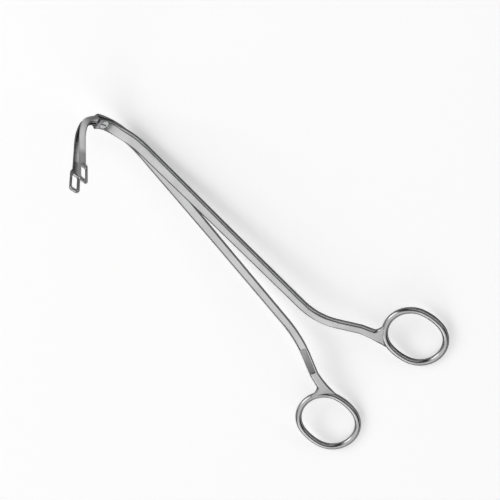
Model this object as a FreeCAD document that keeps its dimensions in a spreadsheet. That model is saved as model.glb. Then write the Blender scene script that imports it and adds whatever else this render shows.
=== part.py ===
import FreeCAD, Part
import math
import os
import Sketcher

# Kidney stone forceps with ring handles and curved, fenestrated jaws.
# Two forged arms cross at a lap joint in the middle of the bend and turn on one screw.
# Each arm is drawn closed, with the joint at the origin, the shanks along +X and the
# jaws curving up to +Z. The upper arm lies on the hollow side of the bend: its ring is
# at +Y and its jaw at -Y. The lower arm is its partner on the back of the bend.
# At the end both arms are opened a little and the forceps are laid on their back, on
# the rings and the start of the bend, with the origin under the middle of the whole.

SIZES = (
    ("bend_radius", 25.6, "radius of the bend, at the parting line of the joint"),
    ("joint_turn", 63.2, "degrees of bend between the shanks and the screw"),
    ("jaw_turn", 121.2, "degrees of bend between the shanks and the straight jaws"),
    ("jaw_first_turn", 109.7, "degrees of bend at which the bend opens out along the jaws"),
    ("jaw_radius", 92.0, "radius of the gentle bend from there to the straight jaws"),
    ("shank_length", 118.7, "from the end of the bend to the corner of the handle"),
    ("shank_splay", 1.6, "degrees by which each shank leaves the middle when closed"),
    ("shank_root_out", 0.45, "from the middle plane to the middle of the shank at the bend"),
    ("shank_gap", 0.4, "gap between the two arms where they lie on each other"),
    ("shank_thick", 3.2, "height of the shank"),
    ("shank_root_width", 6.0, "width of the shank at the bend"),
    ("shank_mid_width", 4.8, "width of the shank half way"),
    ("shank_end_width", 4.4, "width of the shank at the handle"),
    ("shank_crease", 1.4, "width of the rounded outer shoulder beside the flat top"),
    ("shank_inner_wall", 1.7, "height of the flat inner side of the shank"),
    ("handle_length", 42.5, "from the corner of the handle to the middle of the ring"),
    ("handle_tilt", 22.7, "degrees by which the handles bend down from the shanks"),
    ("handle_bend", 10.4, "length of the curve on either side of the corner"),
    ("handle_thick", 3.0, "height of the handle beside the ring"),
    ("web_thick", 3.1, "height of the web at the ring"),
    ("web_start", 22.8, "from the middle of the ring back to the start of the web"),
    ("web_out", 13.9, "from the middle of the ring in to the middle of the web's start"),
    ("web_end", 9.0, "from the middle of the ring back to a point that the web aims at"),
    ("web_end_out", 9.5, "from the middle of the ring in to that point"),
    ("web_foot", 7.2, "half width of the web's foot on the outer side of the ring"),
    ("web_fillet_start", 6.0, "along the web to the start of the outer fillet"),
    ("web_fillet_end", 9.8, "along the web to the end of the outer fillet, in the rim"),
    ("web_fade", 15.5, "along the web to where its inner edge fades into the rim"),
    ("web_fade_width", 4.7, "inner half width of the web where it fades"),
    ("web_fade_thick", 1.0, "height of the web where it fades"),
    ("flat_length", 13.5, "length of the shallow milled flat on the lower handle"),
    ("flat_start", 1.2, "from the start of the web back to the end of the milled flat"),
    ("flat_depth", 0.4, "depth of the milled flat"),
    ("flat_wall", 1.0, "width left standing beside the milled flat, at the inner side"),
    ("ring_offset", 26.6, "from the middle plane to the middle of the ring, closed"),
    ("ring_hole_length", 27.8, "length of the finger hole"),
    ("ring_hole_width", 23.0, "width of the finger hole"),
    ("ring_rim", 3.2, "width and height of the round rim of the ring"),
    ("ring_end_radius", 12.8, "radius of the rim's middle line at the ends of the oval"),
    ("lock_width", 5.8, "width of the joint"),
    ("lock_thick", 1.9, "height of each half at the joint"),
    ("lock_radius", 6.0, "radius of the round seat in which each half turns"),
    ("lock_room", 0.25, "clearance round the seat"),
    ("lock_face_gap", 0.04, "gap between the lapped faces of the joint"),
    ("lock_blend", 14.0, "length over which the arm narrows from joint to shank"),
    ("screw_radius", 1.5, "radius of the screw"),
    ("screw_room", 0.05, "running clearance of the screw in the upper arm"),
    ("screw_head_radius", 2.5, "radius of the flush head at the hollow side"),
    ("screw_head_depth", 0.8, "height of the cone of the flush head"),
    ("screw_head_top", 2.0, "height of the flush head over the parting plane"),
    ("screw_back_radius", 2.3, "radius of the round end at the back"),
    ("screw_back_seat", 1.5, "depth of the seat of the round end below the parting plane"),
    ("screw_back_rim", 0.6, "height of the cylinder of the round end"),
    ("screw_back_dome", 3.6, "radius of the dome of the round end"),
    ("slot_width", 0.7, "width of the driver slot"),
    ("slot_depth", 0.6, "depth of the driver slot"),
    ("jaw_root_width", 4.4, "width of the jaw at the joint"),
    ("jaw_root_depth", 3.0, "depth of the half-round jaw at the joint"),
    ("jaw_width", 3.7, "width of the straight jaw"),
    ("jaw_depth", 1.8, "depth of the straight half-round jaw"),
    ("jaw_blend", 12.0, "length over which the jaw narrows from the joint"),
    ("jaw_face_gap", 0.1, "gap between the two jaws when they are closed"),
    ("jaw_length", 25.5, "from the end of the bend to the start of the tip"),
    ("tip_length", 17.0, "length of the fenestrated tip"),
    ("tip_width", 5.2, "width of the fenestrated tip"),
    ("tip_depth", 1.5, "depth of the fenestrated tip"),
    ("tip_corner", 1.6, "corner radius of the tip"),
    ("tip_edge", 0.5, "chamfer of the outer edge of the tip"),
    ("window_length", 12.9, "length of the window in the tip"),
    ("window_width", 3.6, "width of the window in the tip"),
    ("window_end", 1.4, "from the end of the tip to the window"),
    ("window_corner", 0.8, "corner radius of the window"),
    ("tooth_count", 6, "number of cross grooves in the inner face of each jaw"),
    ("tooth_pitch", 1.7, "distance from groove to groove"),
    ("tooth_depth", 0.35, "depth of a groove"),
    ("tooth_width", 1.0, "width of a groove at the face"),
    ("tooth_end", 0.9, "from the last groove to the window"),
    ("rest_opening", 2.9, "degrees by which each arm is opened from closed"),
)

doc = FreeCAD.newDocument("kidney_stone_forceps")
sheet = doc.addObject("Spreadsheet::Sheet", "sizes")
for row, (alias, value, meaning) in enumerate(SIZES, start=1):
    sheet.set("A%d" % row, meaning)
    sheet.set("B%d" % row, str(value))
    sheet.setAlias("B%d" % row, alias)
doc.recompute()


def read(alias):
    """The value of one cell of the sheet."""
    return float(sheet.get(alias))


def bind(thing, prop, expression):
    """Tie one property of a document object to cells of the sheet."""
    thing.setExpression(prop, expression)


# Directions and places that both arms share

X_AXIS = FreeCAD.Vector(1, 0, 0)
Y_AXIS = FreeCAD.Vector(0, 1, 0)
Z_AXIS = FreeCAD.Vector(0, 0, 1)
R = read("bend_radius")
JOINT_TURN = math.radians(read("joint_turn"))
JAW_TURN = math.radians(read("jaw_turn"))
FIRST_TURN = math.radians(read("jaw_first_turn"))
SPLAY = math.radians(read("shank_splay"))
TILT = math.radians(read("handle_tilt"))


def hollow_side(turn):
    """Unit vector from the parting line to the hollow side, where the arm has turned so far."""
    return FreeCAD.Vector(math.sin(turn), 0, math.cos(turn))


def to_handles(turn):
    """Unit vector along the parting line to the handles, where the arm has turned so far."""
    return FreeCAD.Vector(math.cos(turn), 0, -math.sin(turn))


PIVOT_AXIS = hollow_side(JOINT_TURN)
BEND_CENTRE = PIVOT_AXIS * R
PIVOT_FRAME = FreeCAD.Placement(FreeCAD.Vector(), FreeCAD.Rotation(Y_AXIS, read("joint_turn")))


def parting_point(turn):
    """Point of the parting line on the bend, where the arm has turned so far."""
    if turn <= FIRST_TURN:
        return BEND_CENTRE - hollow_side(turn) * R
    gentle = read("jaw_radius")
    centre = BEND_CENTRE + hollow_side(FIRST_TURN) * (gentle - R)
    return centre - hollow_side(turn) * gentle


BEND_END = parting_point(0)
JAW_START = parting_point(JAW_TURN)
RING_CENTRE_X = BEND_END.x + read("shank_length") + read("handle_length") * math.cos(TILT)
RING_CENTRE_Z = BEND_END.z - read("handle_length") * math.sin(TILT)
RING_UP = hollow_side(TILT)
RING_ALONG = to_handles(TILT)


def blend(start, end, share):
    """Smooth step from start to end as share goes from 0 to 1."""
    share = min(max(share, 0.0), 1.0)
    return start + (end - start) * (1 - math.cos(math.pi * share)) / 2


def loft(sections, ruled=False):
    """Solid through closed sections."""
    solid = Part.makeLoft(sections, True, ruled)
    if solid.Volume < 0:
        solid.reverse()
    return solid


# The arms, from the joint to the rings

WALL_SHARE = read("shank_inner_wall") / read("shank_thick")
FLANK_OUT = 0.8  # how far the outer flank bulges over the crease, as a share of the crease
FLANK_SINK = 0.15  # height of that bulge over the middle, as a share of the thickness
FLANK_FOOT = 0.9  # where the flank turns under the bar, as a share of the outer half
BELLY = 0.1  # lowest line of the bar, as a share of the outer half
KEEL = 0.6  # where the belly rises to the inner side, as a share of the inner half
LOCK_WALL = 0.8  # height of the inner wall at the joint, as a share of its thickness
LOCK_CREASE = 0.3  # width of the outer shoulder at the joint, as a share of its thickness
LOCK_FLAT = 0.96  # width of the lapped face, as a share of the joint's width
LOCK_BLOCK = 0.6  # height of the block behind the lapped face, as a share of the thickness


def bar_section(middle, along, up, side, widths, thick, crease, inner_wall):
    """Flat top, rounded outer shoulder and belly, and a low flat inner side."""
    along = FreeCAD.Vector(along).normalize()
    up = (up - along * up.dot(along)).normalize()
    out = up.cross(along) * side
    inner, outer = widths

    def place(across, height):
        return middle + out * across + up * height

    top_inner = place(-inner, thick / 2)
    top_crease = place(outer - crease, thick / 2)
    belly = place(BELLY * outer, -thick / 2)
    low_inner = place(-inner, thick / 2 - inner_wall)
    flank = Part.BezierCurve()
    flank.setPoles([top_crease, place(outer + FLANK_OUT * crease, FLANK_SINK * thick),
                    place(FLANK_FOOT * outer, -thick / 2), belly])
    keel = Part.BezierCurve()
    keel.setPoles([belly, place(-KEEL * inner, -thick / 2),
                   place(-inner, -(thick + inner_wall) / 4), low_inner])
    return Part.Wire([
        Part.LineSegment(top_inner, top_crease).toShape(),
        flank.toShape(),
        keel.toShape(),
        Part.LineSegment(low_inner, top_inner).toShape(),
    ])


def bend_station(reach, side):
    """Section of the arm in the bend, at a distance from the screw along the parting line."""
    turn = JOINT_TURN - reach / R
    share = abs(reach) / read("lock_blend")
    thick = blend(read("lock_thick"), read("shank_thick"), share)
    width = blend(read("lock_width"), read("shank_root_width"), share)
    inner_wall = blend(LOCK_WALL * read("lock_thick"), read("shank_inner_wall"), share)
    crease = blend(LOCK_CREASE * read("lock_thick"), read("shank_crease"), share)
    up = hollow_side(turn)
    out = blend(0.0, read("shank_root_out"), reach / (R * JOINT_TURN))
    middle = parting_point(turn) + up * side * (read("shank_gap") + thick) / 2 + Y_AXIS * side * out
    return bar_section(middle, to_handles(turn), up, side, (width / 2, width / 2), thick, crease,
                       inner_wall)


def shank_point(share, side):
    """Middle of the shank, as share goes from 0 at the bend to 1 at the corner of the handle."""
    reach = read("shank_length") * share
    out = side * (read("shank_root_out") + reach * math.tan(SPLAY))
    layer = side * (read("shank_gap") + read("shank_thick")) / 2
    return BEND_END + FreeCAD.Vector(reach, out, layer)


def shank_section(share, width, side):
    """Section of the straight shank."""
    along = shank_point(1, side) - shank_point(0, side)
    return bar_section(shank_point(share, side), along, Z_AXIS, side, (width / 2, width / 2),
                       read("shank_thick"), read("shank_crease"), read("shank_inner_wall"))


def ring_point(along, out, side):
    """Point in the plane of the ring, from the ring's middle, out being away from the other arm."""
    middle = FreeCAD.Vector(RING_CENTRE_X, side * read("ring_offset"), RING_CENTRE_Z)
    return middle + RING_ALONG * along + Y_AXIS * side * out


def handle_sections(side):
    """Sections of the curved corner and the straight handle, as far as the web."""
    corner = shank_point(1, side)
    web = ring_point(-read("web_start"), -read("web_out"), side)
    start = corner - (corner - shank_point(0, side)).normalize() * read("handle_bend")
    end = corner + (web - corner).normalize() * read("handle_bend")
    half = read("shank_end_width") / 2
    curve = []
    steps = 4
    for step in range(steps + 1):
        share = step / steps
        middle = start * (1 - share) ** 2 + corner * 2 * share * (1 - share) + end * share ** 2
        along = (corner - start) * (1 - share) + (end - corner) * share
        up = Z_AXIS * (1 - share) + RING_UP * share
        thick = blend(read("shank_thick"), read("handle_thick"), share)
        curve.append(bar_section(middle, along, up, side, (half, half), thick,
                                 read("shank_crease"), read("shank_inner_wall")))
    return curve


def web_sections(side):
    """Sections that widen from the handle: an outer fillet and a long inner flare into the rim."""
    start = ring_point(-read("web_start"), -read("web_out"), side)
    along = (ring_point(-read("web_end"), -read("web_end_out"), side) - start).normalize()
    half = read("shank_end_width") / 2
    fillet_start = read("web_fillet_start")
    fillet_end = read("web_fillet_end")
    fade = read("web_fade")
    fillet_steps = [fillet_start + (fillet_end - fillet_start) * step / 3 for step in range(4)]
    sections = []
    for reach in [0.0, fillet_start / 2] + fillet_steps + [(fillet_end + fade) / 2, fade]:
        climb = min(max((reach - fillet_start) / (fillet_end - fillet_start), 0.0), 1.0)
        outer = half + (read("web_foot") - half) * climb ** 2
        inner = half + (read("web_fade_width") - half) * (reach / fade) ** 2
        sink = max((reach - fillet_end) / (fade - fillet_end), 0.0)
        thick = blend(read("handle_thick"), read("web_thick"), reach / fillet_start)
        thick = thick + (read("web_fade_thick") - thick) * sink
        sections.append(bar_section(start + along * reach, along, RING_UP, side, (inner, outer),
                                    thick, read("shank_crease"), thick * WALL_SHARE))
    return sections


def make_bar(name, side):
    """The forged arm from the joint to the ring, in smooth and in straight lengths."""
    steps = 5
    bend = [bend_station(R * JOINT_TURN * step / steps, side) for step in range(steps + 1)]
    curve = handle_sections(side)
    middle = shank_section(0.5, read("shank_mid_width"), side)
    flare = web_sections(side)
    pieces = [
        loft(bend),
        loft([bend[-1], middle], True),
        loft([middle, curve[0]], True),
        loft(curve),
        loft([curve[-1], flare[0]], True),
        loft(flare[:3], True),
        loft(flare[2:-2]),
        loft(flare[-3:], True),
    ]
    bar = doc.addObject("Part::Feature", "bar_" + name)
    bar.Shape = pieces[0].multiFuse(pieces[1:])
    return bar


def in_pivot_frame(thing, x, y, z):
    """Place a thing in the frame of the screw, whose Z runs to the hollow side."""
    corner = FreeCAD.Placement(FreeCAD.Vector(x, y, z), FreeCAD.Rotation())
    thing.Placement = PIVOT_FRAME * corner


def cylinder(name, radius, height, low):
    """Cylinder on the axis of the screw, its sizes bound to the sheet."""
    thing = doc.addObject("Part::Cylinder", name)
    bind(thing, "Radius", radius)
    bind(thing, "Height", height)
    in_pivot_frame(thing, 0, 0, low)
    return thing


def make_lock(name, side):
    """The round end of the arm in the seat: a short bar with a flat lapped face."""
    reach = read("lock_radius") + read("lock_room")
    width = LOCK_FLAT * read("lock_width")
    height = LOCK_BLOCK * read("lock_thick")
    short = doc.addObject("Part::Feature", "stub_" + name)
    short.Shape = loft([bend_station(-reach * (1 - step / 2), side) for step in range(3)])
    plate = doc.addObject("Part::Box", "plate_" + name)
    bind(plate, "Length", "2 * sizes.lock_radius")
    bind(plate, "Width", "%g * sizes.lock_width" % LOCK_FLAT)
    bind(plate, "Height", "%g * sizes.lock_thick" % LOCK_BLOCK)
    low = read("lock_face_gap") / 2 if side > 0 else -read("lock_face_gap") / 2 - height
    in_pivot_frame(plate, -read("lock_radius"), -width / 2, low)
    block = doc.addObject("Part::Fuse", "block_" + name)
    block.Base = short
    block.Tool = plate
    disc = cylinder("disc_" + name, "sizes.lock_radius", "6 * sizes.lock_thick",
                    -3 * read("lock_thick"))
    lock = doc.addObject("Part::Common", "lock_" + name)
    lock.Base = block
    lock.Tool = disc
    return lock


# The jaws

NEAR = 0.001  # distance below which two places count as one


def jaw_section(middle, across, side, width, depth):
    """Half-round section with its flat face to the other jaw."""
    face = Y_AXIS * -side * read("jaw_face_gap") / 2
    bulge = Y_AXIS * -side * depth
    low = middle + face - across * width / 2
    high = middle + face + across * width / 2
    return Part.Wire([
        Part.LineSegment(low, high).toShape(),
        Part.Arc(high, middle + face + bulge, low).toShape(),
    ])


def jaw_station(turn, side):
    """Section of the jaw in the bend, where the arm has turned so far."""
    share = R * (turn - JOINT_TURN) / read("jaw_blend")
    width = blend(read("jaw_root_width"), read("jaw_width"), share)
    depth = blend(read("jaw_root_depth"), read("jaw_depth"), share)
    return jaw_section(parting_point(turn), hollow_side(turn), side, width, depth)


def make_jaw(name, side):
    """The half-round jaw from the joint to its tip."""
    tight = loft([jaw_station(JOINT_TURN + (FIRST_TURN - JOINT_TURN) * step / 4, side)
                  for step in range(5)])
    gentle = loft([jaw_station(FIRST_TURN + (JAW_TURN - FIRST_TURN) * step / 2, side)
                   for step in range(3)])
    across = hollow_side(JAW_TURN)
    end = JAW_START - to_handles(JAW_TURN) * (read("jaw_length") + read("window_end"))
    sections = [jaw_section(place, across, side, read("jaw_width"), read("jaw_depth"))
                for place in (JAW_START, end)]
    jaw = doc.addObject("Part::Feature", "jaw_" + name)
    jaw.Shape = tight.multiFuse([gentle, loft(sections, True)])
    return jaw


def rectangle(sketch, start, length, width):
    """Rectangle along X from start, or from the Y axis, centred on the X axis."""
    corners = [FreeCAD.Vector(x, y, 0) for x, y in ((1, -1), (2, -1), (2, 1), (1, 1))]
    first = corners[0]
    last = corners[2]
    for index in range(4):
        sketch.addGeometry(Part.LineSegment(corners[index], corners[(index + 1) % 4]), False)
    for index in range(4):
        sketch.addConstraint(Sketcher.Constraint("Coincident", index, 2, (index + 1) % 4, 1))
    for index in (0, 2):
        sketch.addConstraint(Sketcher.Constraint("Horizontal", index))
    sketch.addConstraint(Sketcher.Constraint("Vertical", 1))
    sketch.addConstraint(Sketcher.Constraint("Symmetric", 3, 1, 3, 2, -1))
    sizes = [
        (Sketcher.Constraint("DistanceX", 0, 1, 0, 2, last.x - first.x), length),
        (Sketcher.Constraint("DistanceY", 1, 1, 1, 2, last.y - first.y), width),
    ]
    if start is None:
        sketch.addConstraint(Sketcher.Constraint("PointOnObject", 0, 1, -2))
    else:
        sizes.append((Sketcher.Constraint("DistanceX", -1, 1, 0, 1, first.x), start))
    for constraint, expression in sizes:
        index = sketch.addConstraint(constraint)
        bind(sketch, "Constraints[%d]" % index, expression)


def new_sketch(body, name):
    """Sketch on the XY plane of a body."""
    plane = [f for f in body.Origin.OriginFeatures if f.Role == "XY_Plane"][0]
    sketch = body.newObject("Sketcher::SketchObject", name)
    sketch.AttachmentSupport = [(plane, "")]
    sketch.MapMode = "FlatFace"
    return sketch


def edges_where(shape, wanted):
    """Names of the edges whose ends and middle all meet a test."""
    names = []
    for index, edge in enumerate(shape.Edges, start=1):
        middle = edge.valueAt((edge.FirstParameter + edge.LastParameter) / 2)
        points = [vertex.Point for vertex in edge.Vertexes] + [middle]
        if all(wanted(point) for point in points):
            names.append("Edge%d" % index)
    return names


def upright_edges(shape):
    """Names of the edges that run along Z."""
    names = []
    for index, edge in enumerate(shape.Edges, start=1):
        direction = edge.Vertexes[-1].Point - edge.Vertexes[0].Point
        if direction.Length > 0 and direction.Length - abs(direction.z) < NEAR:
            names.append("Edge%d" % index)
    return names


def round_edges(body, name, base, names, radius):
    """Fillet on named edges of a feature."""
    fillet = body.newObject("PartDesign::Fillet", name)
    fillet.Base = (base, names)
    bind(fillet, "Radius", radius)
    body.Tip = fillet
    doc.recompute()
    return fillet


def make_tip(name, side):
    """The fenestrated tip: a rounded plate with a window, flat to the other jaw."""
    body = doc.addObject("PartDesign::Body", "tip_" + name)
    outline = new_sketch(body, "tip_outline_" + name)
    rectangle(outline, None, "sizes.tip_length", "sizes.tip_width")
    pad = body.newObject("PartDesign::Pad", "tip_pad_" + name)
    pad.Profile = outline
    bind(pad, "Length", "sizes.tip_depth")
    doc.recompute()
    corners = round_edges(body, "tip_corners_" + name, pad, upright_edges(pad.Shape),
                          "sizes.tip_corner")
    outer = read("tip_depth") if side < 0 else 0.0
    rim = edges_where(corners.Shape, lambda point: abs(point.z - outer) < NEAR)
    bevel = body.newObject("PartDesign::Chamfer", "tip_rim_" + name)
    bevel.Base = (corners, rim)
    bind(bevel, "Size", "sizes.tip_edge")
    body.Tip = bevel
    doc.recompute()
    opening = new_sketch(body, "window_outline_" + name)
    rectangle(opening, "sizes.tip_length - sizes.window_end - sizes.window_length",
              "sizes.window_length", "sizes.window_width")
    window = body.newObject("PartDesign::Pocket", "window_" + name)
    window.Profile = opening
    window.Type = "ThroughAll"
    window.Midplane = True
    doc.recompute()
    half = read("window_width") / 2
    low = read("tip_length") - read("window_end") - read("window_length")
    high = read("tip_length") - read("window_end")
    inside = edges_where(window.Shape, lambda point: abs(abs(point.y) - half) < NEAR
                         and min(abs(point.x - low), abs(point.x - high)) < NEAR)
    round_edges(body, "window_corners_" + name, window, inside, "sizes.window_corner")
    face = read("jaw_face_gap") / 2
    place = JAW_START - to_handles(JAW_TURN) * read("jaw_length")
    place = place + Y_AXIS * (face if side < 0 else -face - read("tip_depth"))
    turned = FreeCAD.Rotation(to_handles(JAW_TURN) * -1, hollow_side(JAW_TURN), Y_AXIS, "XYZ")
    body.Placement = FreeCAD.Placement(place, turned)
    return body


def make_window_tool(name):
    """Prism through the window, which keeps the jaw's bar out of it."""
    box = doc.addObject("Part::Box", "window_tool_" + name)
    bind(box, "Length", "sizes.window_length - 2 * %g" % NEAR)
    bind(box, "Width", "sizes.window_width - 2 * %g" % NEAR)
    bind(box, "Height", "4 * sizes.tip_depth")
    along = to_handles(JAW_TURN) * -1
    start = read("jaw_length") + read("tip_length") - read("window_end") - read("window_length")
    place = JAW_START + along * (start + NEAR) - Y_AXIS * 2 * read("tip_depth")
    place = place - hollow_side(JAW_TURN) * (read("window_width") / 2 - NEAR)
    turned = FreeCAD.Rotation(along, hollow_side(JAW_TURN), Y_AXIS, "XYZ")
    box.Placement = FreeCAD.Placement(place, turned)
    return box


# The rings

def ring_turn():
    """Rotation from the drawing plane of a ring to its place in the arm."""
    return FreeCAD.Rotation(RING_ALONG, Y_AXIS, RING_UP, "XYZ")


def oval(half_length, half_width, end_radius):
    """Oval of four arcs that touch without a corner, in the XY plane about the origin."""
    end_centre = half_length - end_radius
    spare = half_width - end_radius
    side_radius = (end_centre ** 2 + half_width ** 2 - end_radius ** 2) / spare / 2
    drop = side_radius - half_width
    reach = side_radius / math.hypot(end_centre, drop)
    x, y = end_centre * reach, drop * reach - drop

    def arc(start, middle, end):
        return Part.Arc(*[FreeCAD.Vector(place[0], place[1], 0) for place in (start, middle, end)])

    arcs = [arc((x, y), (0, half_width), (-x, y)), arc((-x, y), (-half_length, 0), (-x, -y)),
            arc((-x, -y), (0, -half_width), (x, -y)), arc((x, -y), (half_length, 0), (x, y))]
    return Part.Wire([piece.toShape() for piece in arcs])


def ring_oval():
    """Middle line of the rim, in the plane of the ring."""
    return oval(read("ring_hole_length") / 2 + read("ring_rim") / 2,
                read("ring_hole_width") / 2 + read("ring_rim") / 2, read("ring_end_radius"))


def make_ring(name, side):
    """The finger ring: a round rim swept round the oval."""
    path = doc.addObject("Part::Feature", "ring_path_" + name)
    path.Shape = ring_oval()
    section = doc.addObject("Part::Circle", "ring_section_" + name)
    bind(section, "Radius", "sizes.ring_rim / 2")
    section.Placement = FreeCAD.Placement(FreeCAD.Vector(), FreeCAD.Rotation(Y_AXIS, 90))
    bind(section, "Placement.Base.y", "sizes.ring_hole_width / 2 + sizes.ring_rim / 2")
    ring = doc.addObject("Part::Sweep", "ring_" + name)
    ring.Sections = [section]
    ring.Spine = (path, ["Edge1", "Edge2", "Edge3", "Edge4"])
    ring.Solid = True
    ring.Frenet = False
    ring.Placement = FreeCAD.Placement(ring_point(0, 0, side), ring_turn())
    return ring


def make_finger_room(name, side):
    """Oval prism inside the rim, which trims the web so that it ends in the rim."""
    room = doc.addObject("Part::Feature", "finger_room_" + name)
    room.Shape = Part.Face(ring_oval()).extrude(Z_AXIS * 4 * read("ring_rim"))
    low = ring_point(0, 0, side) - RING_UP * 2 * read("ring_rim")
    room.Placement = FreeCAD.Placement(low, ring_turn())
    return room


# Cuts in the arms

def make_milled_flat(name, side):
    """Room of the shallow milled flat on top of the handle, open at the outer side."""
    web = ring_point(-read("web_start"), -read("web_out"), side)
    along = (web - shank_point(1, side)).normalize()
    up = (RING_UP - along * RING_UP.dot(along)).normalize()
    across = up.cross(along) * side
    half = read("shank_end_width") / 2
    box = doc.addObject("Part::Box", "flat_room_" + name)
    bind(box, "Length", "sizes.flat_length")
    bind(box, "Width", "2 * sizes.shank_end_width")
    bind(box, "Height", "2 * sizes.handle_thick")
    low = web - along * (read("flat_start") + read("flat_length"))
    low = low + up * (read("handle_thick") / 2 - read("flat_depth"))
    low = low + across * (read("flat_wall") - half)
    if side < 0:
        low = low + across * 2 * read("shank_end_width")
    box.Placement = FreeCAD.Placement(low, FreeCAD.Rotation(along, up.cross(along), up, "XYZ"))
    return box


def make_teeth(name, side):
    """V grooves across the inner face of the jaw, between its straight part and the window."""
    along = to_handles(JAW_TURN) * -1
    across = hollow_side(JAW_TURN)
    half = read("tooth_width") / 2
    face = -side * read("jaw_face_gap") / 2
    deep = Y_AXIS * side * read("tooth_depth")
    window = read("jaw_length") + read("tip_length") - read("window_end") - read("window_length")
    grooves = []
    for index in range(int(read("tooth_count"))):
        reach = window - read("tooth_end") - half - index * read("tooth_pitch")
        middle = JAW_START + along * reach + Y_AXIS * face - across * read("tip_width")
        left = middle - along * 2 * half + deep
        right = middle + along * 2 * half + deep
        groove = Part.Face(Part.makePolygon([left, middle - deep, right, left]))
        grooves.append(groove.extrude(across * 2 * read("tip_width")))
    teeth = doc.addObject("Part::Feature", "teeth_" + name)
    teeth.Shape = Part.makeCompound(grooves)
    return teeth


# Joining the parts of each arm

def fuse(name, things):
    """One solid of several."""
    joined = doc.addObject("Part::MultiFuse", name)
    joined.Shapes = things
    return joined


def cut(name, base, tool):
    """A solid with another taken out of it."""
    result = doc.addObject("Part::Cut", name)
    result.Base = base
    result.Tool = tool
    return result


def make_seat(name, side):
    """The round room that one half leaves for the other half."""
    low = -read("lock_face_gap") / 2
    if side > 0:
        low = -low - 4 * read("lock_thick")
    return cylinder("seat_" + name, "sizes.lock_radius + sizes.lock_room",
                    "4 * sizes.lock_thick", low)


def make_arm(name, side):
    """One whole arm, closed, with the seat and the hole of the screw."""
    bar = cut("bar_end_" + name, make_bar(name, side), make_finger_room(name, side))
    jaw = cut("jaw_end_" + name, make_jaw(name, side), make_window_tool(name))
    forged = fuse("forged_" + name, [bar, jaw, make_lock(name, side), make_tip(name, side),
                                     make_ring(name, side)])
    cuts = [make_seat(name, side), make_teeth(name, side)]
    if side < 0:
        cuts.append(make_milled_flat(name, side))
    return cut("cut_" + name, forged, fuse("cuts_" + name, cuts))


def make_screw():
    """The screw: a shank, a flush slotted head at the hollow side and a round end at the back."""
    shank = cylinder("screw_shank", "sizes.screw_radius",
                     "sizes.screw_back_seat + sizes.screw_head_top", -read("screw_back_seat"))
    head = doc.addObject("Part::Cone", "screw_head")
    bind(head, "Radius1", "sizes.screw_radius")
    bind(head, "Radius2", "sizes.screw_head_radius")
    bind(head, "Height", "sizes.screw_head_depth")
    in_pivot_frame(head, 0, 0, read("screw_head_top") - read("screw_head_depth"))
    rim = cylinder("screw_rim", "sizes.screw_back_radius", "sizes.screw_back_rim",
                   -read("screw_back_seat") - read("screw_back_rim"))
    dome = doc.addObject("Part::Sphere", "screw_dome")
    bind(dome, "Radius", "sizes.screw_back_dome")
    sink = math.sqrt(read("screw_back_dome") ** 2 - read("screw_back_radius") ** 2)
    in_pivot_frame(dome, 0, 0, sink - read("screw_back_seat") - read("screw_back_rim"))
    under = cylinder("screw_under", "sizes.screw_back_radius", "sizes.screw_back_dome",
                     -read("screw_back_seat") - read("screw_back_rim") - read("screw_back_dome"))
    cap = doc.addObject("Part::Common", "screw_cap")
    cap.Base = dome
    cap.Tool = under
    whole = fuse("screw_blank", [shank, head, rim, cap])
    slot = doc.addObject("Part::Box", "screw_slot")
    bind(slot, "Length", "4 * sizes.screw_head_radius")
    bind(slot, "Width", "sizes.slot_width")
    bind(slot, "Height", "2 * sizes.slot_depth")
    in_pivot_frame(slot, -2 * read("screw_head_radius"), -read("slot_width") / 2,
                   read("screw_head_top") - read("slot_depth"))
    return cut("pivot_screw", whole, slot)


def make_upper_hole():
    """Running hole and countersink of the upper arm."""
    hole = cylinder("upper_hole", "sizes.screw_radius + sizes.screw_room",
                    "6 * sizes.lock_thick", -3 * read("lock_thick"))
    sink = doc.addObject("Part::Cone", "upper_sink")
    bind(sink, "Radius1", "sizes.screw_radius + sizes.screw_room")
    bind(sink, "Radius2", "sizes.screw_head_radius + sizes.screw_room")
    bind(sink, "Height", "sizes.screw_head_depth")
    in_pivot_frame(sink, 0, 0, read("screw_head_top") - read("screw_head_depth"))
    above = cylinder("upper_above", "sizes.screw_head_radius + sizes.screw_room",
                     "2 * sizes.lock_thick", read("screw_head_top"))
    return fuse("upper_bore", [hole, sink, above])


def make_lower_hole():
    """Tight hole of the lower arm and the flat seat of the round end."""
    hole = cylinder("lower_hole", "sizes.screw_radius", "6 * sizes.lock_thick",
                    -3 * read("lock_thick"))
    below = cylinder("lower_below", "sizes.screw_back_radius", "2 * sizes.lock_thick",
                     -read("screw_back_seat") - 2 * read("lock_thick"))
    return fuse("lower_bore", [hole, below])


upper = cut("upper_arm", make_arm("upper", 1), make_upper_hole())
lower = cut("lower_arm", make_arm("lower", -1), make_lower_hole())
screw = make_screw()
NODES = {"upper_arm": (upper, 1), "lower_arm": (lower, -1), "pivot_screw": (screw, -1)}
for label, (node, side) in NODES.items():
    node.Label = label
doc.recompute()


# Opening the arms and laying the forceps on their back

def opening(side):
    """Turn of one arm about the screw, from closed to the pose that is drawn."""
    return FreeCAD.Placement(FreeCAD.Vector(),
                             FreeCAD.Rotation(PIVOT_AXIS, side * read("rest_opening")))


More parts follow.
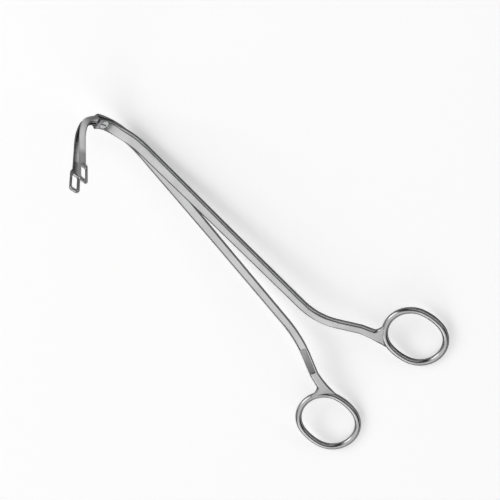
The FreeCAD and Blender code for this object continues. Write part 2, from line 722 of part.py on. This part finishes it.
ring_reach = read("ring_hole_length") / 2 + read("ring_rim") / 2
ring_low = ring_point(ring_reach, 0, 1) - RING_UP * read("ring_rim") / 2
ring_low = opening(1).multVec(ring_low)
back_radius = R + read("shank_gap") / 2 + read("shank_thick")
run = ring_low.x - BEND_CENTRE.x
drop = BEND_CENTRE.z - ring_low.z
pitch = math.degrees(math.atan2(drop, run) - math.asin(back_radius / math.hypot(run, drop)))
lying = FreeCAD.Placement(FreeCAD.Vector(), FreeCAD.Rotation(Y_AXIS, -pitch))
for node, side in NODES.values():
    node.Placement = lying * opening(side)
doc.recompute()
whole = Part.makeCompound([node.Shape for node, side in NODES.values()])
box = whole.optimalBoundingBox(False)
shift = FreeCAD.Placement(FreeCAD.Vector(-box.Center.x, -box.Center.y, -box.ZMin),
                          FreeCAD.Rotation())
for node, side in NODES.values():
    node.Placement = shift * node.Placement
doc.recompute()

# Checks and export

for thing in doc.Objects:
    if "Invalid" in thing.State or "Error" in thing.State:
        raise RuntimeError("%s is %s" % (thing.Name, thing.State))
for label, (node, side) in NODES.items():
    if node.Shape.isNull() or not node.Shape.isValid():
        raise RuntimeError("%s has no valid shape" % label)
os.makedirs("parts", exist_ok=True)
for label, (node, side) in NODES.items():
    node.Shape.exportStep("parts/%s.step" % label)
    print(label, len(node.Shape.Solids), "solids", round(node.Shape.Volume, 1), "mm3")
print("pitch", round(pitch, 3), "shift", shift.Base)
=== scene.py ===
import math

import bpy
import numpy as np
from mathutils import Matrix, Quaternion, Vector

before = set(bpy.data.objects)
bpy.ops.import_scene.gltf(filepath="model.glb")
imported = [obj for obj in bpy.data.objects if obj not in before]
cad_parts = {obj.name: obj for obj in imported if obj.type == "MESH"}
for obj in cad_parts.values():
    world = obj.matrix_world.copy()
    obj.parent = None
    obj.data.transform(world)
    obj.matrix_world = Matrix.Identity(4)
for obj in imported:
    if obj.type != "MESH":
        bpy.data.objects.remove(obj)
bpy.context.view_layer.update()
scene = bpy.context.scene
scene.view_settings.view_transform = "Standard"


# The table under the forceps.
# A wide sheet of matt white laminate, large enough to run out of every view.
# The forceps lie on it on the ends of the rings and on the back of the bend.

TABLE_HALF_SIZE = 6.0
TABLE_SQUARES = 2
TABLE_WHITE = (0.86, 0.86, 0.86, 1.0)
TABLE_ROUGHNESS = 0.9
TABLE_SHINE = 0.1
GLOW_COLOUR = (1.0, 1.0, 1.0, 1.0)
TABLE_GLOW = 0.41


def table_sheet(half, squares):
    """A flat square: z = 0 for x and y from -half to half, in squares by squares faces."""
    steps = np.linspace(-half, half, squares + 1)
    u, v = np.meshgrid(steps, steps, indexing="ij")
    points = np.stack([u.ravel(), v.ravel(), np.zeros(u.size)], axis=1)
    i, j = np.meshgrid(np.arange(squares), np.arange(squares), indexing="ij")
    row = squares + 1
    first = (i * row + j).ravel()
    faces = np.stack([first, first + row, first + row + 1, first + 1], axis=1)
    mesh = bpy.data.meshes.new("table")
    mesh.from_pydata(points.tolist(), [], faces.tolist())
    return bpy.data.objects.new("table", mesh)


def add_node(tree, kind, values=None, **settings):
    """Add a node whose inputs get values: constants, or outputs of other nodes as links."""
    node = tree.nodes.new(kind)
    for name, value in settings.items():
        setattr(node, name, value)
    for socket, value in (values or {}).items():
        if isinstance(value, bpy.types.NodeSocket):
            tree.links.new(value, node.inputs[socket])
        else:
            node.inputs[socket].default_value = value
    return node


def combine(tree, operation, first, second):
    """The result of a Math node with two inputs."""
    node = add_node(tree, "ShaderNodeMath", {0: first, 1: second}, operation=operation)
    return node.outputs[0]


def laminate():
    """White laminate that shows as the plain background of the photograph."""
    material = bpy.data.materials.new("white laminate")
    material.use_nodes = True
    tree = material.node_tree
    surface = tree.nodes["Principled BSDF"].inputs
    surface["Base Color"].default_value = TABLE_WHITE
    surface["Roughness"].default_value = TABLE_ROUGHNESS
    surface["Specular IOR Level"].default_value = TABLE_SHINE
    surface["Emission Color"].default_value = GLOW_COLOUR
    rays = add_node(tree, "ShaderNodeLightPath").outputs
    seen = combine(tree, "MAXIMUM", rays["Is Camera Ray"], rays["Is Glossy Ray"])
    shown = combine(tree, "MAXIMUM", seen, rays["Is Transmission Ray"])
    glow = combine(tree, "MULTIPLY", shown, TABLE_GLOW)
    tree.links.new(glow, surface["Emission Strength"])
    return material


table = table_sheet(TABLE_HALF_SIZE, TABLE_SQUARES)
table.data.materials.append(laminate())
scene.collection.objects.link(table)


# The camera.
# It stands where the photographer's stood, about 1.1 m off and high over the upper arm's
# side, with a long lens, so that the forceps run from the upper left to the lower right.

CAMERA_PLACE = Vector((0.02504, 0.41175, 1.03187))
CAMERA_TURN = Quaternion((0.908948, -0.169706, 0.082451, 0.371774))
CAMERA_LENS = 161.57
CAMERA_SENSOR = 36.0
CAMERA_NEAR = 0.01
CAMERA_FAR = 30.0

lens = bpy.data.cameras.new("camera")
lens.lens = CAMERA_LENS
lens.sensor_width = CAMERA_SENSOR
lens.clip_start = CAMERA_NEAR
lens.clip_end = CAMERA_FAR
camera = bpy.data.objects.new("camera", lens)
camera.location = CAMERA_PLACE
camera.rotation_mode = "QUATERNION"
camera.rotation_quaternion = CAMERA_TURN.normalized()
scene.collection.objects.link(camera)
scene.camera = camera


# The studio light.
# A room with a broad light band over the far side, a weaker one on the near side and a dark
# zone above the camera between them, which gives dark edges, and three soft lamps round it.

LAMPS = (  # name, place, width, height, power
    ("left box", (-1.15, -0.35, 1.00), 0.9, 0.9, 5.0),
    ("near strip", (0.45, 1.25, 0.62), 1.6, 0.22, 1.3),
    ("far box", (0.75, -1.50, 0.95), 1.2, 0.8, 4.5),
)
ROOM_BANDS = (  # place from the far side (0) to the near side (1), level
    (0.00, 0.12), (0.12, 0.35), (0.20, 1.00), (0.44, 1.00), (0.50, 0.30),
    (0.55, 0.05), (0.78, 0.05), (0.82, 0.75), (0.90, 0.75), (0.94, 0.05),
)
ROOM_DIM_HEIGHT = 0.1
ROOM_DIM_STRENGTH = 0.10
ROOM_FULL_HEIGHT = 0.62


def remap(tree, source, low, high, start=0.0, end=1.0, interpolation="SMOOTHSTEP"):
    """The source mapped from low..high to start..end, and held at these outside."""
    node = add_node(tree, "ShaderNodeMapRange", {
        "Value": source, "From Min": low, "From Max": high, "To Min": start, "To Max": end,
    }, interpolation_type=interpolation)
    return node.outputs["Result"]


for name, place, width, height, power in LAMPS:
    lamp = bpy.data.lights.new(name, "AREA")
    lamp.shape = "RECTANGLE"
    lamp.size = width
    lamp.size_y = height
    lamp.energy = power
    holder = bpy.data.objects.new(name, lamp)
    holder.location = place
    holder.rotation_euler = (-Vector(place)).to_track_quat("-Z", "Y").to_euler()
    holder.visible_camera = False
    scene.collection.objects.link(holder)

scene.world = bpy.data.worlds.new("studio")
scene.world.use_nodes = True
room = scene.world.node_tree
background = room.nodes["Background"].inputs
direction = add_node(room, "ShaderNodeTexCoord")
split = add_node(room, "ShaderNodeSeparateXYZ", {0: direction.outputs["Generated"]})
across = remap(room, split.outputs["Y"], -1.0, 1.0, interpolation="LINEAR")
bands = add_node(room, "ShaderNodeValToRGB", {"Fac": across})
while len(bands.color_ramp.elements) < len(ROOM_BANDS):
    bands.color_ramp.elements.new(0.5)
for stop, (place, level) in zip(bands.color_ramp.elements, ROOM_BANDS):
    stop.position = place
    stop.color = (level, level, level, 1.0)
room.links.new(bands.outputs["Color"], background["Color"])
strength = remap(room, split.outputs["Z"], ROOM_DIM_HEIGHT, ROOM_FULL_HEIGHT, ROOM_DIM_STRENGTH)
room.links.new(strength, background["Strength"])


# The two arms and the screw.
# Stainless steel, forged, ground and polished by hand, so that it is bright but not a
# mirror: fine cross grinding, faint clouds, rounded edges and a matt milled flat. Painted
# shade darkens the flanks, the bend, the edges, the jaws, the rings and the flat's colour,
# and dark specular tints paint shade on grazing edges.

STEEL_COLOUR = (0.59, 0.59, 0.595, 1.0)
SCREW_COLOUR = (0.58, 0.58, 0.59, 1.0)
# Specular tints that paint shade on grazing edges, deeper on the upper arm and the screw.
DARK_RIM_SHADE = (0.10, 0.10, 0.11, 1.0)
PALE_RIM_SHADE = (0.5, 0.5, 0.5, 1.0)
# The three shade entries are painted shade, set separately for each arm: the share of the
# steel's tone left on near flanks, far flanks and the jaws' ends.
UPPER_FINISH_AND_SHADE = {
    "Colour": STEEL_COLOUR, "Roughness": 0.19, "Grain": 0.30, "Edge": 0.0011,
    "Flank shade": 0.22, "Far flank shade": 0.08, "Tip shade": 0.22,
}
LOWER_FINISH_AND_SHADE = {
    "Colour": STEEL_COLOUR, "Roughness": 0.19, "Grain": 0.30, "Edge": 0.0007,
    "Flank shade": 0.32, "Far flank shade": 0.55, "Tip shade": 0.75,
}
SCREW_FINISH = {
    "Colour": SCREW_COLOUR, "Roughness": 0.16, "Grain": 0.2, "Edge": 0.0002,
    "Flank shade": 1.0, "Far flank shade": 1.0, "Tip shade": 0.0,
}

MERGE_DISTANCE = 0.000002
SHARP_ANGLE = math.radians(28)

CLOUD_SCALE = 110.0
CLOUD_DETAIL = 4.0
CLOUD_RANGE = (0.3, 0.7)
CLOUD_TONES = (1.04, 0.90)
CLOUD_GLOSS = (-0.03, 0.05)
GRINDING_STRETCH = (2400.0, 260.0, 600.0)
GRINDING_DETAIL = 2.0
GRINDING_DEPTH = 0.00003
EDGE_SAMPLES = 12

# Each pair says where a tone starts to change and where it has changed. Turns are parts of
# the surface normal, places are metres.
# Painted shade on flanks: sides that turn away from the wide faces are darkened from the shank
# onwards, and the far flanks by their own amount.
FLANK_SHADE_TURN = (0.80, 0.50)
FLANK_SHADE_SHARE = 0.70
FLANK_SHADE_PLACE = (-0.075, -0.055)
# Painted shade over the bend, on sides turned across it.
BEND_SHADE_TURN = (0.60, 0.86)
BEND_SHADE_PLACE = (0.045, 0.025)
# Painted shade: dark edge lines where the bevelled normal turns from the surface's own normal.
EDGE_LINE_SHADE_TURN = (0.995, 0.93)
# Painted shade on the jaws' ends, by height.
TIP_SHADE_PLACE = (0.062, 0.070)
FAR_FLANK_SHADE_TURN = (-0.02, -0.15)
# Painted shade on the rings and their webs, a little darker than the shanks.
RING_SHADE_PLACE = (0.055, 0.072)
RING_SHADE_TONE = 0.80

# The milled flat's matt roughness is its own; its darker colours are painted shade, deepest
# towards its lower end.
FLAT_UPPER_SHADED_COLOUR = (0.50, 0.50, 0.505, 1.0)
FLAT_LOWER_SHADED_COLOUR = (0.30, 0.30, 0.305, 1.0)
FLAT_ROUGHNESS = 0.5
FLAT_MIDDLE = (0.056273, -0.016447, 0.014669)
FLAT_ALONG = (0.87563, -0.45569, -0.16008)
FLAT_UP = (0.21404, 0.06899, 0.97439)
FLAT_HALF_LENGTH = 0.00672
FLAT_HALF_HEIGHT = 0.0001


def edge_smoothing():
    """Geometry nodes that join a CAD mesh's loose triangles and keep its sharp edges."""
    group = bpy.data.node_groups.new("smooth steel faces", "GeometryNodeTree")
    group.interface.new_socket("Geometry", in_out="INPUT", socket_type="NodeSocketGeometry")
    group.interface.new_socket("Geometry", in_out="OUTPUT", socket_type="NodeSocketGeometry")
    start = add_node(group, "NodeGroupInput")
    join = add_node(group, "GeometryNodeMergeByDistance", {
        "Geometry": start.outputs[0], "Distance": MERGE_DISTANCE,
    })
    faces = add_node(group, "GeometryNodeSetShadeSmooth", {
        "Geometry": join.outputs["Geometry"],
    }, domain="FACE")
    angle = add_node(group, "GeometryNodeInputMeshEdgeAngle")
    sharp = add_node(group, "FunctionNodeCompare", {
        "A": angle.outputs["Unsigned Angle"], "B": SHARP_ANGLE,
    }, data_type="FLOAT", operation="GREATER_THAN")
    edges = add_node(group, "GeometryNodeSetShadeSmooth", {
        "Geometry": faces.outputs["Geometry"], "Selection": sharp.outputs["Result"],
        "Shade Smooth": False,
    }, domain="EDGE")
    add_node(group, "NodeGroupOutput", {0: edges.outputs["Geometry"]})
    return group


def painted_shade_share(tree, start, edge):
    """The share of its tone that the steel keeps under painted shade: 1 on wide faces, less on
    flanks, edges, the bend, the jaws and the rings.
    """
    facing = add_node(tree, "ShaderNodeVectorTransform", {"Vector": edge},
                      vector_type="NORMAL", convert_from="WORLD", convert_to="OBJECT")
    sides = add_node(tree, "ShaderNodeVectorMath", {0: facing.outputs["Vector"]},
                     operation="ABSOLUTE")
    turn, side, spot = [
        add_node(tree, "ShaderNodeSeparateXYZ", {0: vector}).outputs
        for vector in (facing.outputs["Vector"], sides.outputs["Vector"], start["Place"])]

    # Painted shade on steep flanks from the shank onwards.
    jaw_flank_shade = combine(tree, "MULTIPLY", remap(tree, side["Z"], *FLANK_SHADE_TURN, end=FLANK_SHADE_SHARE),
                  remap(tree, spot["X"], *FLANK_SHADE_PLACE))
    # Painted shade on the bend.
    bend = combine(tree, "MULTIPLY", remap(tree, side["Y"], *BEND_SHADE_TURN),
                   remap(tree, spot["Z"], *BEND_SHADE_PLACE))
    # Painted shade: dark edge lines along every rounded edge.
    face = add_node(tree, "ShaderNodeNewGeometry")
    rounding = add_node(tree, "ShaderNodeVectorMath", {0: edge, 1: face.outputs["Normal"]},
                        operation="DOT_PRODUCT")
    edge_line_shade = remap(tree, rounding.outputs["Value"], *EDGE_LINE_SHADE_TURN)
    # Painted shade on the jaws' ends, by arm.
    tip_shade = remap(tree, spot["Z"], *TIP_SHADE_PLACE, end=start["Tip shade"])
    # The strongest painted shade of flanks, bend, edge lines and jaws.
    dark = combine(tree, "MAXIMUM", combine(tree, "MAXIMUM", jaw_flank_shade, bend),
                   combine(tree, "MAXIMUM", edge_line_shade, tip_shade))

    # The deepest painted shade, changing from the near flanks to the far flanks.
    deepest_shade_share = remap(tree, turn["Y"], *FAR_FLANK_SHADE_TURN, start["Flank shade"], start["Far flank shade"])
    share_under_shade = remap(tree, dark, 0.0, 1.0, 1.0, deepest_shade_share, interpolation="LINEAR")
    # Painted shade on the rings.
    ring_shade = remap(tree, spot["X"], *RING_SHADE_PLACE, 1.0, RING_SHADE_TONE)
    return combine(tree, "MULTIPLY", share_under_shade, ring_shade)


def ground_steel():
    """Shader group: clouds in tone and gloss, cross grinding, rounded edges, and painted shade
    on flanks, edges, the bend, the jaws and the rings.
    """
    group = bpy.data.node_groups.new("ground steel", "ShaderNodeTree")
    for way, kind, names in (
            ("INPUT", "NodeSocketVector", ("Place",)),
            ("INPUT", "NodeSocketColor", ("Colour",)),
            ("INPUT", "NodeSocketFloat",
             ("Roughness", "Grain", "Edge", "Flank shade", "Far flank shade", "Tip shade")),
            ("OUTPUT", "NodeSocketColor", ("Colour",)),
            ("OUTPUT", "NodeSocketFloat", ("Roughness",)),
            ("OUTPUT", "NodeSocketVector", ("Normal",))):
        for name in names:
            group.interface.new_socket(name, in_out=way, socket_type=kind)
    start = add_node(group, "NodeGroupInput").outputs

    clouds = add_node(group, "ShaderNodeTexNoise", {
        "Vector": start["Place"], "Scale": CLOUD_SCALE, "Detail": CLOUD_DETAIL,
    })
    tone, gloss = [
        remap(group, clouds.outputs["Fac"], *CLOUD_RANGE, *ends, interpolation="LINEAR")
        for ends in (CLOUD_TONES, CLOUD_GLOSS)]
    edge = add_node(group, "ShaderNodeBevel", {"Radius": start["Edge"]}, samples=EDGE_SAMPLES)
    clouded = add_node(group, "ShaderNodeVectorMath", {
        0: start["Colour"], "Scale": tone,
    }, operation="SCALE")
    shaded = add_node(group, "ShaderNodeVectorMath", {
        0: clouded.outputs["Vector"], "Scale": painted_shade_share(group, start, edge.outputs["Normal"]),
    }, operation="SCALE")

    stretch = add_node(group, "ShaderNodeMapping", {
        "Vector": start["Place"], "Scale": GRINDING_STRETCH,
    })
    grinding = add_node(group, "ShaderNodeTexNoise", {
        "Vector": stretch.outputs["Vector"], "Scale": 1.0, "Detail": GRINDING_DETAIL,
    })
    bump = add_node(group, "ShaderNodeBump", {
        "Strength": start["Grain"], "Distance": GRINDING_DEPTH,
        "Height": grinding.outputs["Fac"], "Normal": edge.outputs["Normal"],
    })
    add_node(group, "NodeGroupOutput", {
        "Colour": shaded.outputs["Vector"],
        "Roughness": combine(group, "ADD", start["Roughness"], gloss),
        "Normal": bump.outputs["Normal"],
    })
    return group


def steel(name, group, values, rim_shade):
    """A metal material that takes its tone, gloss and normal from the steel group, with a
    specular tint that paints shade on grazing edges.
    """
    material = bpy.data.materials.new(name)
    material.use_nodes = True
    tree = material.node_tree
    surface = tree.nodes["Principled BSDF"].inputs
    surface["Metallic"].default_value = 1.0
    surface["Specular Tint"].default_value = rim_shade
    place = add_node(tree, "ShaderNodeTexCoord")
    finish_and_shade = add_node(tree, "ShaderNodeGroup", {
        "Place": place.outputs["Object"], **values,
    }, node_tree=group, name="finish_and_shade")
    tree.links.new(finish_and_shade.outputs["Colour"], surface["Base Color"])
    tree.links.new(finish_and_shade.outputs["Roughness"], surface["Roughness"])
    tree.links.new(finish_and_shade.outputs["Normal"], surface["Normal"])
    return material


def add_milled_flat(material):
    """Turn the steel matt where |along| and |up| from the flat's middle are small, and paint
    shade on it there, deepest at its lower end.
    """
    tree = material.node_tree
    finish_and_shade = tree.nodes["finish_and_shade"].inputs
    place = add_node(tree, "ShaderNodeTexCoord")
    offset = add_node(tree, "ShaderNodeVectorMath", {
        0: place.outputs["Object"], 1: FLAT_MIDDLE,
    }, operation="SUBTRACT")
    along, up = [
        add_node(tree, "ShaderNodeVectorMath", {
            0: offset.outputs["Vector"], 1: axis,
        }, operation="DOT_PRODUCT").outputs["Value"]
        for axis in (FLAT_ALONG, FLAT_UP)]
    near, level = [
        add_node(tree, "ShaderNodeMath", {
            0: distance, 1: 0.0, 2: half,
        }, operation="COMPARE").outputs[0]
        for distance, half in ((along, FLAT_HALF_LENGTH), (up, FLAT_HALF_HEIGHT))]
    mask = combine(tree, "MULTIPLY", near, level)
    shade_descent = remap(tree, along, -FLAT_HALF_LENGTH, FLAT_HALF_LENGTH, interpolation="LINEAR")
    milled = add_node(tree, "ShaderNodeMix", {
        "Factor": shade_descent, "A": FLAT_UPPER_SHADED_COLOUR, "B": FLAT_LOWER_SHADED_COLOUR,
    }, data_type="RGBA")
    colour = add_node(tree, "ShaderNodeMix", {
        "Factor": mask, "A": STEEL_COLOUR, "B": milled.outputs["Result"],
    }, data_type="RGBA")
    rough = remap(tree, mask, 0.0, 1.0, finish_and_shade["Roughness"].default_value, FLAT_ROUGHNESS,
                  interpolation="LINEAR")
    tree.links.new(colour.outputs["Result"], finish_and_shade["Colour"])
    tree.links.new(rough, finish_and_shade["Roughness"])


steel_finish_and_shade = ground_steel()
upper_steel = steel("satin arm steel", steel_finish_and_shade, UPPER_FINISH_AND_SHADE, DARK_RIM_SHADE)
lower_steel = steel("satin arm steel with milled flat", steel_finish_and_shade, LOWER_FINISH_AND_SHADE, PALE_RIM_SHADE)
add_milled_flat(lower_steel)
screw_steel = steel("screw steel", steel_finish_and_shade, SCREW_FINISH, DARK_RIM_SHADE)
smoothing = edge_smoothing()
for name, material in (("upper_arm", upper_steel), ("lower_arm", lower_steel),
                       ("pivot_screw", screw_steel)):
    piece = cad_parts[name]
    piece.data.materials.clear()
    piece.data.materials.append(material)
    smooth = piece.modifiers.new("smooth faces", "NODES")
    smooth.node_group = smoothing
    weights = piece.modifiers.new("even shading", "WEIGHTED_NORMAL")
    weights.keep_sharp = True
